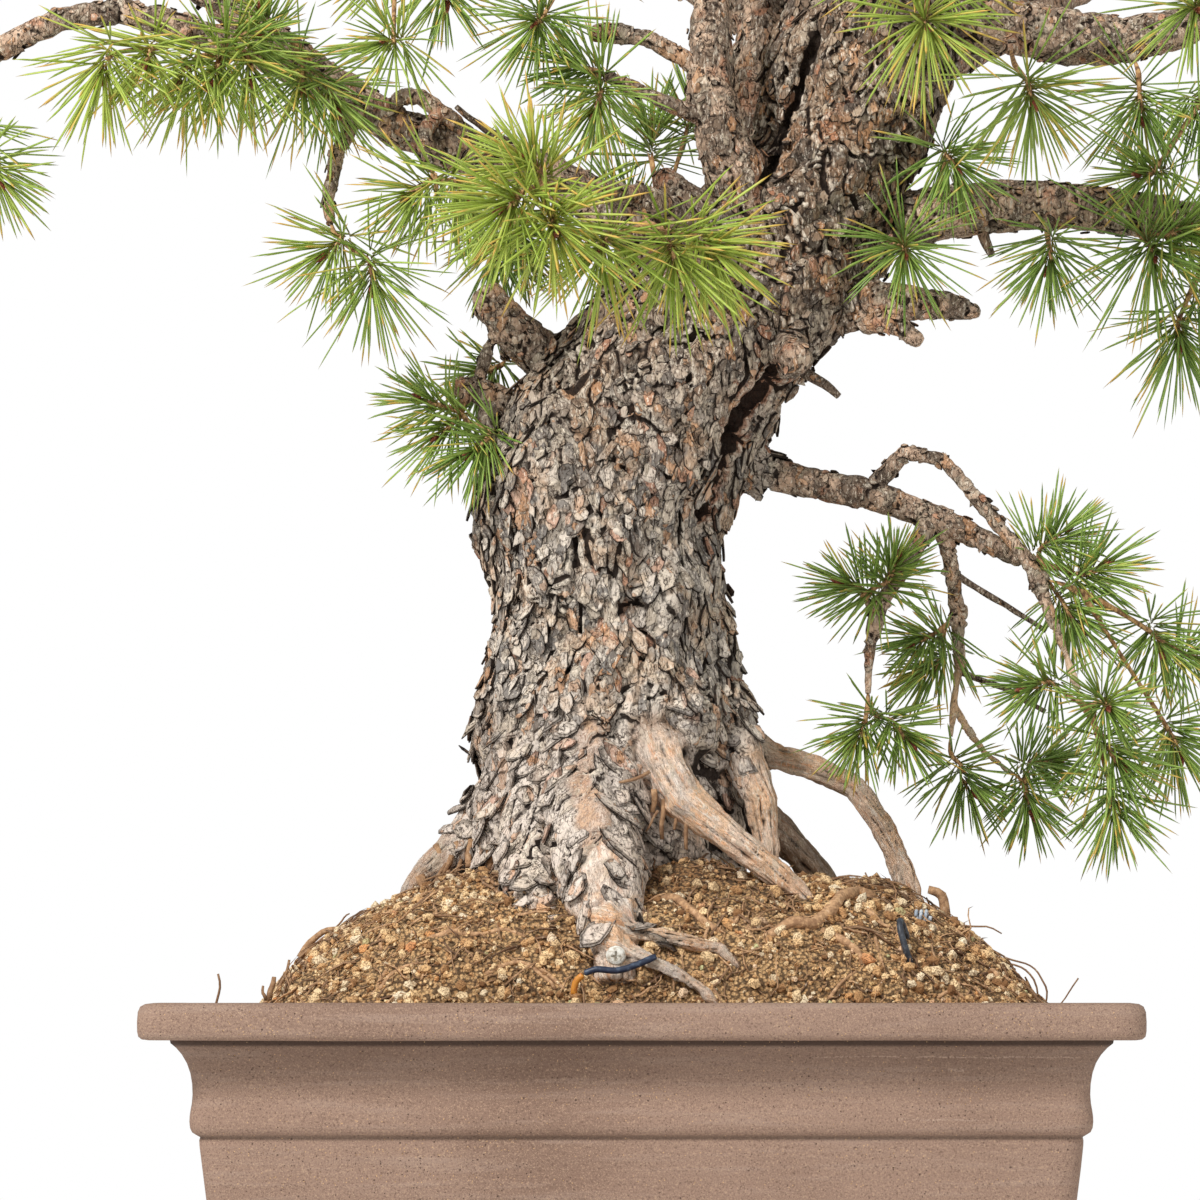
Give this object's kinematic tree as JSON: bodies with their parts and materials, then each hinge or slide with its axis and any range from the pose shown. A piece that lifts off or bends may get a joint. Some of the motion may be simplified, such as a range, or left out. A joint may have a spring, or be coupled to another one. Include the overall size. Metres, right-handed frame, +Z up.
{
  "type": "bonsai tree in pot",
  "caption": "Old pine bonsai with flaky bark, exposed roots and needle tufts, standing on a soil mound in an unglazed rectangular pot.",
  "frame": {"origin": "centre of the whole plant's box in X and Y, at the plane the pot's feet stand on", "axes": "+Z up, -Y toward the viewer of the picture, +X to the viewer's right, along the pot's long side"},
  "size_m": [0.9125, 0.5683, 0.9818],
  "materials": {
    "clay": "matte",
    "screen": "matte",
    "soil": "matte",
    "bark": "matte",
    "needles": "satin",
    "screw": "satin",
    "wire": "satin",
    "sleeve": "satin"
  },
  "bodies": {
    "root": {"pot": "clay", "drain_screen_left": "screen", "drain_screen_right": "screen", "soil": "soil", "wood": "bark", "anchor_screw": "screw", "anchor_wire_left": "wire", "wire_sleeve": "sleeve", "anchor_wire_right": "wire", "left_far": "needles", "left_edge": "needles", "left_low_tip": "needles", "left_hanging": "needles", "left_front": "needles", "left_middle": "needles", "left_rosette": "needles", "centre_rosette": "needles", "left_fork": "needles", "left_dangling": "needles", "left_under": "needles", "stub_upper": "needles", "stub_lower": "needles", "front_left": "needles", "front_centre": "needles", "leader_twig": "needles", "centre_back": "needles", "right_sharp": "needles", "right_hanging": "needles", "right_upper_edge": "needles", "right_front": "needles", "top_front": "needles", "edge_front": "needles", "branch_upper": "needles", "branch_lower": "needles", "branch_middle": "needles", "edge_twig": "needles", "hang_upper": "needles", "hang_tip": "needles", "hang_inner": "needles", "hang_low": "needles", "hang_right": "needles", "low_tip": "needles", "arch_tip": "needles", "arch_side": "needles", "crown_leader": "needles", "crown_left": "needles", "crown_middle": "needles", "crown_apex": "needles", "crown_shoulder": "needles", "crown_right_tip": "needles", "crown_right": "needles", "crown_far_right": "needles", "right_far": "needles", "crown_back": "needles", "back_low": "needles", "crown_front": "needles", "back_right": "needles", "back_left": "needles", "left_upper": "needles"}
  },
  "joints": []
}
